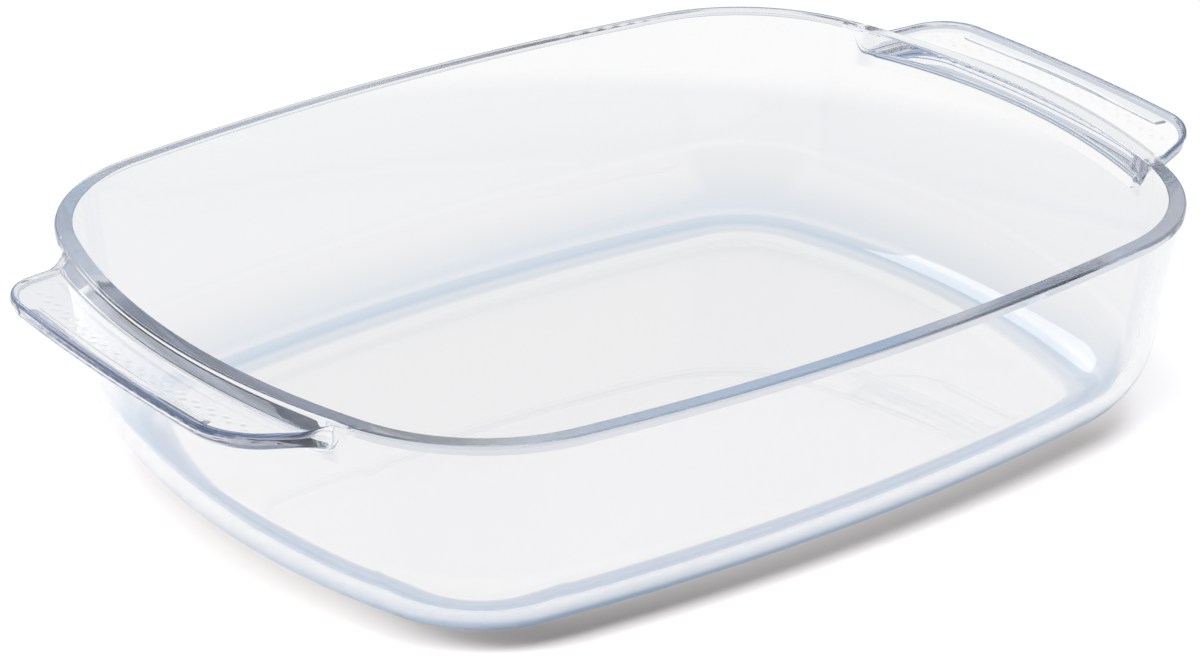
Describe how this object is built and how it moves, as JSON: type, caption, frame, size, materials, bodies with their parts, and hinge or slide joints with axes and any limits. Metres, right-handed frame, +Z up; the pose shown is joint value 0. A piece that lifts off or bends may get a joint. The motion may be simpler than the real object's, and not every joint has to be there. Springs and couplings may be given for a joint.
{
  "type": "lasagna dish",
  "caption": "Rectangular oven dish pressed in clear glass, with bowed sides, a rounded foot, a lip round the rim and a flat grip handle at each short end.",
  "frame": {"origin": "middle of the flat base, on the surface that the dish stands on", "axes": "+X along the dish, towards one of the two equal handles; +Y across it; +Z up, out of the open top"},
  "size_m": [0.35, 0.2316, 0.069],
  "materials": {
    "borosilicate_glass": "clear borosilicate glass, pressed and fire polished, faintly blue in its thick edges"
  },
  "bodies": {
    "root": {"dish": "borosilicate_glass"}
  },
  "joints": []
}
